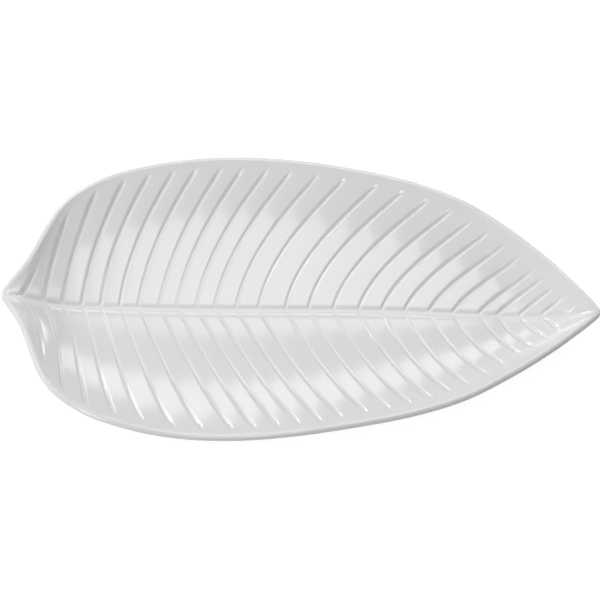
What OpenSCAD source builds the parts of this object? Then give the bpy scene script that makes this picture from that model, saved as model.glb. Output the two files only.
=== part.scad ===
// Leaf shaped serving platter with pressed-in veins, standing on four soft pads.
// The leaf lies along X, stem at -X and tip at +X. Z = 0 is the table.

/* [Leaf outline] */
// Overall length, stem to tip
leaf_length = 480; // [300:5:700]
// Overall width at the widest place
leaf_width = 267.6; // [180:0.2:400]
// Thickness of the rounded lip round the edge
lip_thickness = 5.8; // [4:0.2:9]
// Sideways bow of the midrib
midrib_bow = 3.6; // [0:0.2:10]
// Sideways sway of the midrib, one way near the stem and the other near the tip
midrib_sway = 2.9; // [0:0.1:8]

/* [Dish] */
// Height of the lip's top over the floor of the dish
dish_depth = 21.6; // [10:0.2:40]
// How late the wall turns up, from 1.6 for a cone to 4 for a flat floor
wall_power = 2.2; // [1.6:0.1:4]
// Thickness of the moulded shell
shell_thickness = 4.2; // [3:0.1:8]
// How much lower the lip is at the stem
stem_drop = 8.8; // [0:0.2:9.6]
// How much lower the lip is at the tip
tip_drop = 3; // [0:0.2:9.6]
// Length over which the floor rises to the stem
stem_rise_length = 50; // [20:1:90]
// Length over which the floor rises to the tip
tip_rise_length = 75; // [40:1:120]

/* [Veins] */
// Depth of the deepest vein groove
vein_depth = 2.4; // [0.4:0.1:2.6]
// Width of a vein groove, shoulder to shoulder
vein_width = 5.4; // [4:0.1:7]
// Width of a vein groove's steep wall, on its side by the stem
vein_wall_width = 2.2; // [1:0.1:2.6]
// Width of a vein groove at its floor
vein_floor_width = 0.6; // [0.4:0.1:1]
// Depth of the midrib groove
midrib_depth = 1.3; // [0.4:0.1:2.4]
// Width of the midrib groove, shoulder to shoulder
midrib_width = 7.6; // [4:0.2:9]
// Width of the midrib groove at its floor
midrib_floor_width = 1.6; // [1:0.1:3]
// Length over which the midrib groove runs out at the leaf's ends
midrib_run_out = 9; // [4:1:20]
// How much the panels between the veins crown where the relief is deepest
panel_crown = 0.2; // [0:0.1:1]
// Plain border left between the veins and the lip
plain_border = 5.5; // [4:0.5:20]
// Length over which a vein groove runs out into the border
groove_run_out = 4.5; // [3:0.5:20]

/* [Feet] */
// Distance between the stem pair of feet and the leaf's middle
stem_feet_distance = 92; // [60:1:120]
// Distance between the tip pair of feet and the leaf's middle
tip_feet_distance = 84; // [60:1:120]
// Half the spread of the stem pair
stem_feet_spread = 54; // [30:1:70]
// Half the spread of the tip pair
tip_feet_spread = 44; // [20:1:55]
// Diameter of the moulded boss that carries a pad
boss_diameter = 26; // [20:1:34]
// Height of the shell's underside over the table, in the middle
underside_clearance = 4; // [3:0.5:10]
// Diameter of a pad
pad_diameter = 18; // [12:0.5:24]
// Overall thickness of a pad
pad_thickness = 2.6; // [1.6:0.1:4]
// Depth of the socket that holds a pad
socket_depth = 1.2; // [0.6:0.1:1.4]
// Gap all round a pad in its socket
socket_clearance = 0.15; // [0.05:0.05:0.4]
// Radius on the pad's standing edge
pad_edge_radius = 0.8; // [0.2:0.1:1]

/* [Hidden] */

shell_colour = "#f4f4f2";
pad_colour = "#dadad6";

// The outline of the leaf is followed along the middle of its round lip.
lip_radius = lip_thickness / 2;
rib_length = leaf_length - lip_thickness;

// Half widths of the leaf from the stem to the tip, as shares of the widest,
// at even steps of the angle round the leaf, which are closest at its ends.
half_width_shares = [0, 0.073, 0.24, 0.62, 0.816, 0.924, 0.986, 1,
                     0.969, 0.906, 0.82, 0.692, 0.508, 0.324, 0.163, 0.054, 0];

// Where each pair of veins leaves the midrib, as shares of the rib length.
vein_place_shares = [0.027, 0.064, 0.096, 0.129, 0.161, 0.194, 0.225, 0.260, 0.289,
                     0.322, 0.354, 0.391, 0.429, 0.475, 0.514, 0.556, 0.599, 0.638,
                     0.677, 0.718, 0.758, 0.802, 0.833, 0.870, 0.908, 0.948];

// The run of the veins in the far half and in the near half of the leaf, at
// even steps of the same angle. A hook is an early turn to the tip, a lean is
// the straight slant and a sweep is the curve towards the tip, each as a share
// of the leaf's half width.
far_hook_shares = [0.3, 0.02, 0, 0, 0, 0, 0, 0, 0];
far_lean_shares = [0.2, 0.13, 0.03, 0.1, 0.13, 0.4, 0.78, 1.15, 1.3];
far_sweep_shares = [0, 0.1, 0.27, 0.33, 0.7, 1.15, 2.1, 2.8, 3];
near_hook_shares = [0.24, 0.12, 0.03, 0.03, 0, 0, 0, 0, 0];
near_lean_shares = [0.1, 0.1, 0.2, 0.45, 0.45, 0.36, 0.5, 0.7, 0.8];
near_sweep_shares = [0, 0, 0.12, 0.12, 0.25, 0.6, 1.6, 2.6, 3];
hook_reach_share = 0.14;

// Depth of the relief by the midrib and by the lip, in the far half and in the
// near half, at even steps from the stem to the tip, and the way it changes
// from the one to the other. The border widens towards the tip.
far_rib_depth_shares = [0.95, 0.42, 0.15, 0.25, 0.42, 0.64, 0.8, 0.82, 0.65];
far_lip_depth_shares = [1, 1, 1, 1, 0.93, 0.93, 0.88, 0.82, 0.8];
near_rib_depth_shares = [0.8, 0.5, 0.27, 0.22, 0.3, 0.3, 0.5, 0.62, 0.4];
near_lip_depth_shares = [1, 1, 1, 0.9, 0.8, 0.8, 0.8, 0.9, 0.9];
outward_shares = [0, 0, 0.15, 0.45, 0.88, 1];
border_shares = [1, 1, 1, 1, 1.3, 1.8];

// How fast the lip's drop dies away from either end of the leaf.
drop_reach_share = 0.06;
// The floor's rise to either end is a smooth ramp of this power.
rise_power = 1.5;

// Rows of the shell's skin from the midrib groove's shoulder out to the lip
// and, on the underside, from the lip back to the middle.
top_row_shares = [0.14, 0.3, 0.46, 0.61, 0.75, 0.86, 0.925, 0.96, 1];
under_row_shares = [0.94, 0.8, 0.6, 0.35];
lip_angles = [45, 0, -45];

// Columns that fill the skin between an end of the leaf and the nearest vein.
stem_fill = 8;
tip_fill = 4;

// Steps along the outline, and halvings in a search on it.
outline_steps = 256;
search_steps = 26;

// Even-step Catmull-Rom curve through the values of a list, for u from 0 to 1.
function curve(values, u) =
    let (last = len(values) - 1,
         place = max(0, min(1, u)) * last,
         i = min(floor(place), last - 1),
         t = place - i,
         b = values[i],
         c = values[i + 1],
         a = i > 0 ? values[i - 1] : 2 * b - c,
         d = i < last - 1 ? values[i + 2] : 2 * c - b)
    b + t * (c - a) / 2
      + t * t * (2 * a - 5 * b + 4 * c - d) / 2
      + t * t * t * (3 * b - a - 3 * c + d) / 2;

function smooth(t) = let (s = max(0, min(1, t))) s * s * (3 - 2 * s);
function outline_x(u) = rib_length * (1 - cos(180 * u)) / 2;
function outline_h(u) = rib_half_width * curve(half_width_shares, u);
function angle_share(x) = acos(1 - 2 * max(0, min(1, x / rib_length))) / 180;
function half_width(x) = outline_h(angle_share(x));
function bow(x) = midrib_bow * sin(180 * x / rib_length)
                - midrib_sway * sin(360 * x / rib_length);

// The bow carries the leaf sideways. Its half width is trimmed for that, and
// the whole leaf is moved back over the middle of its overall width.
function side_reach(half, way) =
    max([for (i = [0:outline_steps]) let (u = i / outline_steps)
        half * curve(half_width_shares, u) + way * bow(outline_x(u))]);
straight_half_width = (leaf_width - lip_thickness) / 2;
rib_half_width = 2 * straight_half_width
    - (side_reach(straight_half_width, 1) + side_reach(straight_half_width, -1)) / 2;
centring = (side_reach(rib_half_width, 1) - side_reach(rib_half_width, -1)) / 2;
function rib_y(x) = bow(x) - centring;

// The outward direction square to the outline, as [along, across].
function outline_normal(u) =
    let (step = 1 / outline_steps,
         p = max(0, u - step),
         q = min(1, u + step),
         along = outline_x(q) - outline_x(p),
         across = outline_h(q) - outline_h(p),
         size = norm([along, across]))
    [-across, along] / size;

// A vein leaves the midrib at s. These give its place along the leaf, and its
// slope, at the distance h from the midrib, for side 0 (far) or 1 (near).
hook_reach = hook_reach_share * rib_half_width;
hook_lists = [far_hook_shares, near_hook_shares];
lean_lists = [far_lean_shares, near_lean_shares];
sweep_lists = [far_sweep_shares, near_sweep_shares];
function vein_x(side, s, h) =
    let (u = angle_share(s), k = h / rib_half_width)
    s + rib_half_width * (curve(hook_lists[side], u) * (1 - exp(-h / hook_reach))
                        + curve(lean_lists[side], u) * k
                        + curve(sweep_lists[side], u) * k * k);
function vein_slope(side, s, h) =
    let (u = angle_share(s))
    curve(hook_lists[side], u) * exp(-h / hook_reach) * rib_half_width / hook_reach
    + curve(lean_lists[side], u)
    + 2 * curve(sweep_lists[side], u) * h / rib_half_width;

// A column is [s, d]: it runs beside the vein at s, d away measured square to it.
function column_x(side, column, h) =
    let (slope = vein_slope(side, column[0], h),
         near_rib = min(1, h / (midrib_width / 2)))
    vein_x(side, column[0], h)
    + column[1] * (1 + near_rib * (sqrt(1 + slope * slope) - 1));

// The place on the outline, as an angle share, where a column ends.
function column_end(side, column, low = 0, high = 1, steps = search_steps) =
    steps == 0 ? (low + high) / 2 :
    let (middle = (low + high) / 2)
    outline_x(middle) < column_x(side, column, outline_h(middle))
        ? column_end(side, column, middle, high, steps - 1)
        : column_end(side, column, low, middle, steps - 1);

// The columns over a groove: its stem shoulder, both edges of its floor and its
// tip shoulder.
groove_columns = [-vein_floor_width / 2 - vein_wall_width, -vein_floor_width / 2,
                  vein_floor_width / 2, vein_width - vein_floor_width / 2 - vein_wall_width];
vein_count = len(vein_place_shares);
vein_places = vein_place_shares * rib_length;
columns = [for (i = [0:vein_count - 1])
               each concat([for (d = groove_columns) [vein_places[i], d]],
                           i < vein_count - 1
                               ? [[(vein_places[i] + vein_places[i + 1]) / 2, 0]] : [])];
ends = [for (side = [0, 1]) [for (column = columns) column_end(side, column)]];

// All columns in order: the stem, its fill, the vein columns, the tip's fill
// and the tip. Each is [base column, its end's angle share, share of its base].
last_vein = len(columns) - 1;
function side_columns(side) = concat(
    [for (i = [1:stem_fill]) let (f = i / (stem_fill + 1))
        [0, f * ends[side][0], f]],
    [for (i = [0:last_vein]) [i, ends[side][i], 1]],
    [for (i = [1:tip_fill]) let (f = i / (tip_fill + 1))
        [last_vein, 1 - (1 - f) * (1 - ends[side][last_vein]), 1 - f]]);
skin_columns = [side_columns(0), side_columns(1)];
column_count = len(skin_columns[0]) + 2;

// The foot of a column on the midrib.
function column_base(i, f) =
    let (own = columns[i][0] + columns[i][1])
    i == 0 ? f * own : rib_length - f * (rib_length - own);

// A column's place along the leaf at a share q of its run, bent like its base.
function skin_x(side, skin_column, q) =
    let (i = skin_column[0],
         f = skin_column[2],
         end_u = skin_column[1])
    f == 1 ? column_x(side, columns[i], q * outline_h(end_u)) :
    let (own_h = outline_h(ends[side][i]),
         own_start = column_base(i, 1),
         own_end = outline_x(ends[side][i]),
         bend = (column_x(side, columns[i], q * own_h) - own_start) / (own_end - own_start),
         start = column_base(i, f))
    start + (outline_x(end_u) - start) * bend;

// Heights. The floor rises to both ends, and the lip drops there.
floor_z = underside_clearance + shell_thickness;
function end_rise(x) =
    pow(max(0, 1 - x / stem_rise_length), rise_power)
    + pow(max(0, 1 - (rib_length - x) / tip_rise_length), rise_power);
function lip_top_z(x) =
    let (reach = drop_reach_share * rib_length)
    floor_z + dish_depth - stem_drop * exp(-x / reach)
                         - tip_drop * exp(-(rib_length - x) / reach);
function dish_z(x, h) =
    let (share = min(1, h / max(half_width(x), lip_radius / 10)),
         rise = min(1, end_rise(x)))
    floor_z + (lip_top_z(x) - floor_z) * (1 - (1 - pow(share, wall_power)) * (1 - rise));

// Shares of the relief's depth. The vein columns are the corners of a groove,
// so each lies either on its floor or on a shoulder, and one column runs along
// the crown of each panel.
function midrib_share(x, h) =
    (1 - smooth((h - midrib_floor_width / 2) / ((midrib_width - midrib_floor_width) / 2)))
    * smooth((x - lip_radius) / midrib_run_out)
    * smooth((rib_length - lip_radius - x) / midrib_run_out);
function border_share(x, gap) =
    smooth((gap - plain_border * curve(border_shares, x / rib_length)) / groove_run_out);
rib_depth_lists = [far_rib_depth_shares, near_rib_depth_shares];
lip_depth_lists = [far_lip_depth_shares, near_lip_depth_shares];
function relief_share(side, x, run, gap) =
    let (by_rib = curve(rib_depth_lists[side], x / rib_length),
         by_lip = curve(lip_depth_lists[side], x / rib_length))
    (by_rib + (by_lip - by_rib) * curve(outward_shares, run)) * border_share(x, gap);
function is_floor(skin_column) =
    skin_column[2] == 1 && abs(columns[skin_column[0]][1]) == vein_floor_width / 2;
function is_crown(skin_column) = skin_column[2] == 1 && columns[skin_column[0]][1] == 0;

function world(side, x, h, z) =
    [x - rib_length / 2, (side == 0 ? h : -h) + rib_y(x), z];

rib_rows = [midrib_floor_width / 2, midrib_width / 2];
function row_height(j, end_h) =
    let (rib_share = min(1, end_h / (4 * midrib_width)))
    j < len(rib_rows) ? rib_rows[j] * rib_share :
    let (start = rib_rows[len(rib_rows) - 1] * rib_share)
    start + (end_h - start) * top_row_shares[j - len(rib_rows)];

// The skin of one column from the midrib over the lip to the underside.
function skin_points(side, skin_column) =
    let (end_u = skin_column[1],
         end_x = outline_x(end_u),
         end_h = outline_h(end_u),
         lip_z = lip_top_z(end_x) - lip_radius,
         out = outline_normal(end_u))
    concat(
        [for (j = [0:top_rows - 1])
            let (h = row_height(j, end_h),
                 x = skin_x(side, skin_column, h / end_h),
                 gap = (end_h - h) * out[1],
                 midrib = midrib_share(x, h),
                 relief = relief_share(side, x, h / end_h, gap) * (1 - midrib))
            world(side, x, h, dish_z(x, h) - midrib_depth * midrib
                              - (is_floor(skin_column) ? vein_depth * relief : 0)
                              + (is_crown(skin_column) ? panel_crown * relief : 0))],
        lip_points(side, end_x, end_h, out, lip_z),
        [world(side, end_x, end_h, lip_z - lip_radius)],
        [for (share = under_row_shares)
            let (h = end_h * share, x = skin_x(side, skin_column, share))
            world(side, x, h, dish_z(x, h) - shell_thickness)]);
function lip_points(side, x, h, out, z) =
    [for (a = lip_angles)
        world(side, x + lip_radius * cos(a) * out[0], h + lip_radius * cos(a) * out[1],
              z + lip_radius * sin(a))];

top_rows = len(rib_rows) + len(top_row_shares);
lip_rows = len(lip_angles);
rows = top_rows + lip_rows + 1 + len(under_row_shares);

// The middle line of the top and of the underside, from stem to tip.
middle_x = concat([0], [for (c = skin_columns[0]) column_base(c[0], c[2])], [rib_length]);
function is_end(k) = k == 0 || k == column_count - 1;
top_middle = [for (k = [0:column_count - 1]) let (x = middle_x[k])
    world(0, x, 0, dish_z(x, 0) - (is_end(k) ? 0 : midrib_depth * midrib_share(x, 0)))];
under_middle = [for (k = [0:column_count - 1]) let (x = middle_x[k])
    world(0, x, 0, is_end(k) ? lip_top_z(x) - lip_thickness : dish_z(x, 0) - shell_thickness)];
function end_lip(x, out) = lip_points(0, x, 0, out, lip_top_z(x) - lip_radius);

skin = concat(
    top_middle,
    under_middle,
    [for (side = [0, 1]) each [for (c = skin_columns[side]) each skin_points(side, c)]],
    end_lip(0, [-1, 0]),
    end_lip(rib_length, [1, 0]));

// The number of the point in column k and row j of a side of the skin.
function point_number(side, k, j) =
    let (under = j > top_rows + lip_rows)
    j == 0 || (is_end(k) && j <= top_rows) ? k :
    j == rows + 1 || (is_end(k) && under) ? column_count + k :
    is_end(k) ? 2 * column_count + 2 * (column_count - 2) * rows
                + (k == 0 ? 0 : lip_rows) + j - top_rows - 1 :
    2 * column_count + (side * (column_count - 2) + k - 1) * rows + j - 1;

function whole(face) = face[0] != face[1] && face[1] != face[2] && face[2] != face[0];
skin_faces = [for (side = [0, 1], k = [0:column_count - 2], j = [0:rows])
    let (a = point_number(side, k, j),
         b = point_number(side, k + 1, j),
         c = point_number(side, k + 1, j + 1),
         d = point_number(side, k, j + 1))
    each [for (face = side == 0 ? [[a, c, b], [a, d, c]] : [[a, b, c], [a, c, d]])
              if (whole(face)) face]];

// Feet: [along the leaf, across it] from the leaf's middle.
stem_left = [-stem_feet_distance, stem_feet_spread];
stem_right = [-stem_feet_distance, -stem_feet_spread];
tip_left = [tip_feet_distance, tip_feet_spread];
tip_right = [tip_feet_distance, -tip_feet_spread];
seat_z = pad_thickness - socket_depth;

// The pressed leaf: dish, veins, lip and the four bosses under it.
module leaf_shell() {
    color(shell_colour)
        difference() {
            union() {
                polyhedron(points = skin, faces = skin_faces, convexity = 6);
                for (place = [stem_left, stem_right, tip_left, tip_right])
                    boss(place);
            }
            for (place = [stem_left, stem_right, tip_left, tip_right])
                socket(place);
        }
}

// The height of the dish, and how steeply it climbs sideways, over a boss.
function dish_at(place, off = 0) =
    let (x = place[0] + rib_length / 2)
    dish_z(x, abs(place[1] - rib_y(x)) + off);
function dish_tilt(place) =
    atan2(dish_at(place, boss_diameter / 2) - dish_at(place, -boss_diameter / 2), boss_diameter);

// A short round boss. Its top lies on the dish's own slope, in the middle of
// the wall that is left under a vein.
module boss(place) {
    top = dish_at(place) - (shell_thickness + vein_depth) / 2;
    difference() {
        translate([place[0], place[1], seat_z])
            cylinder(h = floor_z + dish_depth - seat_z, d = boss_diameter, $fn = 64);
        translate([place[0], place[1], top])
            rotate([sign(place[1]) * dish_tilt(place), 0, 0])
                translate([-boss_diameter, -boss_diameter, 0])
                    cube([2 * boss_diameter, 2 * boss_diameter, floor_z + dish_depth]);
    }
}

// The shallow round socket in a boss's face.
module socket(place) {
    translate([place[0], place[1], 0])
        cylinder(h = seat_z + socket_depth, d = pad_diameter + 2 * socket_clearance, $fn = 64);
}

// A soft disc with a round standing edge.
module foot_pad(place) {
    r = pad_diameter / 2;
    color(pad_colour)
        translate([place[0], place[1], 0])
            rotate_extrude($fn = 64)
                union() {
                    translate([0, pad_edge_radius])
                        square([r, pad_thickness - pad_edge_radius]);
                    square([r - pad_edge_radius, pad_thickness]);
                    translate([r - pad_edge_radius, pad_edge_radius])
                        circle(r = pad_edge_radius, $fn = 24);
                }
}

module foot_pad_stem_left() foot_pad(stem_left);
module foot_pad_stem_right() foot_pad(stem_right);
module foot_pad_tip_left() foot_pad(tip_left);
module foot_pad_tip_right() foot_pad(tip_right);

leaf_shell();
foot_pad_stem_left();
foot_pad_stem_right();
foot_pad_tip_left();
foot_pad_tip_right();
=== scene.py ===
import math

import bmesh
import bpy
import numpy as np
from mathutils import Matrix, Vector


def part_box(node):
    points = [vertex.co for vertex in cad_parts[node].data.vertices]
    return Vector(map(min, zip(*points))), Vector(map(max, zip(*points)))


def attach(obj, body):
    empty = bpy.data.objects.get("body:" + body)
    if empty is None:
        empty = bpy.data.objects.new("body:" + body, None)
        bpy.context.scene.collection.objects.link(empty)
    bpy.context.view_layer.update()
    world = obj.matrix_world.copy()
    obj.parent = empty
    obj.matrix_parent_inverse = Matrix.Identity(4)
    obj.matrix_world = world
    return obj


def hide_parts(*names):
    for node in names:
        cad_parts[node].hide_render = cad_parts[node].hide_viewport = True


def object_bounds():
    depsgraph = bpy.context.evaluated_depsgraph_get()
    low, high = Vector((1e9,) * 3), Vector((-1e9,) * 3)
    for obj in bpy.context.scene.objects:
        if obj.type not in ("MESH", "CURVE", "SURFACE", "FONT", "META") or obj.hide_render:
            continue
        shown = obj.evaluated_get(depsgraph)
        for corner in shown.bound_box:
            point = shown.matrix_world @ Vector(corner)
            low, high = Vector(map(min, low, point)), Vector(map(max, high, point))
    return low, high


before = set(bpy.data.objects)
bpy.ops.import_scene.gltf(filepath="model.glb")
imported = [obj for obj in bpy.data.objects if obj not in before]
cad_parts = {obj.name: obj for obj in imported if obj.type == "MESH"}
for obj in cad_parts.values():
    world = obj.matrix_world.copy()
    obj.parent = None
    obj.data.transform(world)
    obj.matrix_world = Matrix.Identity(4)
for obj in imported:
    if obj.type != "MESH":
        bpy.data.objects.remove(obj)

bl_info = {
    "name": "Leaf platter",
    "version": (1, 0, 0),
    "blender": (4, 5, 0),
    "location": "View3D > Sidebar > Leaf platter",
    "description": "Makes a moulded leaf shaped serving platter and its studio",
    "category": "Object",
}

MM = 0.001
BODY = "root"
SHELL = "leaf_shell"
PADS = ("foot_pad_stem_left", "foot_pad_stem_right", "foot_pad_tip_left", "foot_pad_tip_right")

CAD_LOW, CAD_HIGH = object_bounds()
SHELL_LOW, SHELL_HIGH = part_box(SHELL)
PAD_LOW, PAD_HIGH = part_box(PADS[0])

# Half widths of the leaf from the stem to the tip, as shares of the widest, at
# even steps of the angle round the leaf, which are closest at its ends.
HALF_WIDTH_SHARES = (0, 0.073, 0.24, 0.62, 0.816, 0.924, 0.986, 1,
                     0.969, 0.906, 0.82, 0.692, 0.508, 0.324, 0.163, 0.054, 0)
# A half width is at least the lip's radius over this.
THIN_END = 10
# Where each pair of veins leaves the midrib, as shares of the leaf's length.
VEIN_PLACE_SHARES = (0.027, 0.064, 0.096, 0.129, 0.161, 0.194, 0.225, 0.260, 0.289,
                     0.322, 0.354, 0.391, 0.429, 0.475, 0.514, 0.556, 0.599, 0.638,
                     0.677, 0.718, 0.758, 0.802, 0.833, 0.870, 0.908, 0.948)
# The run of the veins in the far half and in the near half of the leaf: an
# early turn to the tip, a straight slant, and a curve towards the tip.
HOOK_SHARES = ((0.3, 0.02, 0, 0, 0, 0, 0, 0, 0),
               (0.24, 0.12, 0.03, 0.03, 0, 0, 0, 0, 0))
LEAN_SHARES = ((0.2, 0.13, 0.03, 0.1, 0.13, 0.4, 0.78, 1.15, 1.3),
               (0.1, 0.1, 0.2, 0.45, 0.45, 0.36, 0.5, 0.7, 0.8))
SWEEP_SHARES = ((0, 0.1, 0.27, 0.33, 0.7, 1.15, 2.1, 2.8, 3),
                (0, 0, 0.12, 0.12, 0.25, 0.6, 1.6, 2.6, 3))
# Distance from the midrib over which the early turn is made, as a share of the half width.
HOOK_REACH_SHARE = 0.14
# Depth of the relief by the midrib and by the lip, from the stem to the tip in
# each half, and the way it changes from the one to the other.
RIB_DEPTH_SHARES = ((1.6, 1, 0.25, 0.25, 0.42, 0.64, 0.8, 0.82, 0.65),
                    (0.75, 0.42, 0.2, 0.16, 0.2, 0.22, 0.4, 0.55, 0.4))
LIP_DEPTH_SHARES = ((1.75, 1.6, 1.2, 1, 0.93, 0.93, 0.88, 0.82, 0.8),
                    (1.2, 1.1, 0.95, 0.85, 0.75, 0.75, 0.8, 0.9, 0.9))
OUTWARD_SHARES = (0, 0, 0.15, 0.45, 0.88, 1)
# How much a deeper groove is also wider: 0 is not at all, and 1 is as much.
WIDENING_POWER = 0.15
# Depth of a groove against the distance from its middle, both as shares: on a
# vein's stem side, on its tip side, which is less steep, and beside the midrib.
STEM_SIDE_SHARES = ((0, 1), (0.05, 0.98), (0.12, 0.84), (0.26, 0.42), (0.38, 0.1),
                    (0.45, 0.02), (0.52, 0), (1, 0))
TIP_SIDE_SHARES = ((0, 1), (0.05, 0.98), (0.12, 0.86), (0.28, 0.45), (0.42, 0.1),
                   (0.5, 0.02), (0.58, 0), (1, 0))
RIB_SIDE_SHARES = ((0, 1), (0.19, 0.905), (0.43, 0.535), (0.67, 0.165), (0.83, 0.035),
                   (0.95, 0), (1, 0))
# How far the midrib's groove lies to the near side of the line where the veins meet.
RIB_SHIFT = 1.4 * MM
# Width of the plain border, and length over which a groove runs out, from the stem
# to the tip, both as shares of their value at the tip.
BORDER_SHARES = ((0, 0.55), (0.6, 0.55), (0.8, 0.72), (1, 1))
RUN_OUT_SHARES = ((0, 0.2), (0.15, 0.25), (0.3, 0.6), (0.45, 0.8), (0.65, 0.8),
                  (0.8, 0.85), (1, 1))
# Length over which the lip falls to each end, as a share of the leaf's length.
DROP_REACH_SHARE = 0.06
# How late the floor begins to rise to each end: 1 is a straight ramp.
RISE_POWER = 1.5
# How square the lip's section is: 2 is a circle.
LIP_SQUARE = 2.1
# How late the rows draw back from the outline to where the lip's round begins.
LIP_PULL_POWER = 8

# Columns of the skin beside each vein, as shares of the vein's width, and rows
# beside the midrib, as shares of its width.
BESIDE_VEIN_SHARES = (-0.58, -0.47, -0.38, -0.3, -0.22, -0.14, -0.06, 0.02,
                      0.1, 0.2, 0.31, 0.43, 0.55, 0.68, 0.85)
BESIDE_RIB_SHARES = (0.06, 0.13, 0.2, 0.28, 0.36, 0.45, 0.56, 0.7, 0.85)
# Where half the leaf is less than this many midrib widths wide, those rows draw together.
RIB_ROWS_ROOM = 8
# Columns on each panel, and before the first and beyond the last vein.
PANEL_COLUMNS = 5
STEM_FILL = 40
TIP_FILL = 20
# Rows from there to the lip, which lie closer by the lip the less even they are, and
# steps of the lip's round.
TOP_ROWS = 38
ROW_EVENNESS = 0.6
LIP_STEPS = 12
# Rows of the underside, as shares of the way from the middle to the outline.
UNDER_SHARES = (0.985, 0.965, 0.93, 0.88, 0.81, 0.72, 0.6, 0.46, 0.3, 0.14)
# A distance in vein widths that stands for no vein there.
NO_VEIN = 9
# Halvings that find a column's end, points along the outline that give its width
# and the distance from it, distances found at once, and the step for its direction.
HALVINGS = 40
WIDTH_POINTS = 257
EDGE_POINTS = 1201
EDGE_CHUNK = 2000
EDGE_STEP = 0.002
# Steps of a boss's rounds, its sides, how much sharper its socket's edge is than the
# outer one, and the distance within which points are welded.
ARC_STEPS = 6
BOSS_SIDES = 64
SOCKET_SHARPNESS = 3
WELD = 0.015 * MM

# Nearly all of a noise's values lie between these.
NOISE_LOW, NOISE_HIGH = 0.35, 0.65
# How much the gloss wavers to both sides of its roughness.
GLOSS_WAVER = 0.12
# The softboxes: azimuth from behind the leaf towards its tip, elevation, size,
# share of the size over which each edge fades, and radiance.
SOFTBOXES = {
    "back": (0, 34, (1.2, 0.62), (0.2, 0.3), 2.7),
    "top": (0, 66, (1.2, 1.15), (0.35, 0.1), 2.4),
    "back_left": (-32, 30, (0.8, 0.7), (0.3, 0.3), 8.2),
    "back_right": (32, 30, (0.8, 0.7), (0.3, 0.3), 6.4),
    "right": (32, 52, (0.7, 0.7), (0.3, 0.3), 1.9),
    "stem": (-100, 15, (1.2, 0.7), (0.3, 0.4), 3.0),
    "stem_side": (-65, 15, (0.9, 0.7), (0.3, 0.4), 7.0),
    "stem_high": (-65, 45, (0.9, 0.9), (0.3, 0.3), 2.5),
    "tip": (65, 15, (0.9, 0.7), (0.3, 0.3), 4.1),
    "front_left": (-135, 20, (0.9, 0.7), (0.3, 0.3), 17.0),
    "fill": (180, 65, (0.9, 0.7), (0.3, 0.3), 7.1),
}
SOFTBOX_DISTANCE = 2.2
# The floor's colour to bounced light and to seen rays, which also get a glow.
FLOOR_SIZE = 12
FLOOR_BOUNCE = "#a8a8a8"
FLOOR_SEEN = "#8a8a8a"
FLOOR_GLOW = 0.9
# How far the camera sees, in its distances from the leaf.
CLIP_DISTANCES = 3

MATH = "ShaderNodeMath"


def linear(hex_colour):
    """A colour written as sRGB hex, as the linear values that a shader takes."""
    parts = [int(hex_colour[i:i + 2], 16) / 255 for i in (1, 3, 5)]
    return tuple(c / 12.92 if c <= 0.04045 else ((c + 0.055) / 1.055) ** 2.4 for c in parts) + (1,)


def add_node(tree, kind, inputs=None, **settings):
    """Adds a node, gives it its settings, and sets or links its inputs. A node given as
    an input stands for its first output."""
    node = tree.nodes.new(kind)
    for name, value in settings.items():
        setattr(node, name, value)
    for key, value in (inputs or {}).items():
        if isinstance(value, bpy.types.Node):
            value = value.outputs[0]
        if isinstance(value, bpy.types.NodeSocket):
            tree.links.new(value, node.inputs[key])
        else:
            node.inputs[key].default_value = value
    return node


def set_curve(node, points):
    """Puts the points of a share curve into a Float Curve node, level beyond its ends."""
    node.mapping.extend = "HORIZONTAL"
    places = node.mapping.curves[0].points
    for x, y in points[1:-1]:
        places.new(x, y)
    places[0].location, places[-1].location = points[0], points[-1]
    node.mapping.update()


def clear_tree(owner):
    """The node tree of a material, lamp or world, emptied."""
    owner.use_nodes = True
    owner.node_tree.nodes.clear()
    return owner.node_tree


def start_tree(name, sockets):
    """A geometry node tree with its inputs by name and kind, and what it is given."""
    tree = bpy.data.node_groups.new(name, "GeometryNodeTree")
    for key, kind in (("Geometry", "Geometry"), *sockets, ("Material", "Material")):
        tree.interface.new_socket(key, in_out="INPUT", socket_type="NodeSocket" + kind)
    tree.interface.new_socket("Geometry", in_out="OUTPUT", socket_type="NodeSocketGeometry")
    return tree, add_node(tree, "NodeGroupInput").outputs


def end_tree(tree, given, shape, offset):
    """Ends a tree: the shape's points are moved, and it gets smooth shading and its material."""
    shape = add_node(tree, "GeometryNodeSetPosition", {"Geometry": shape, "Offset": offset})
    shape = add_node(tree, "GeometryNodeSetShadeSmooth", {"Geometry": shape})
    shape = add_node(tree, "GeometryNodeRealizeInstances", {"Geometry": shape})
    shape = add_node(tree, "GeometryNodeSetMaterial",
                     {"Geometry": shape, "Material": given["Material"]})
    add_node(tree, "NodeGroupOutput", {"Geometry": shape})
    return tree


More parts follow.
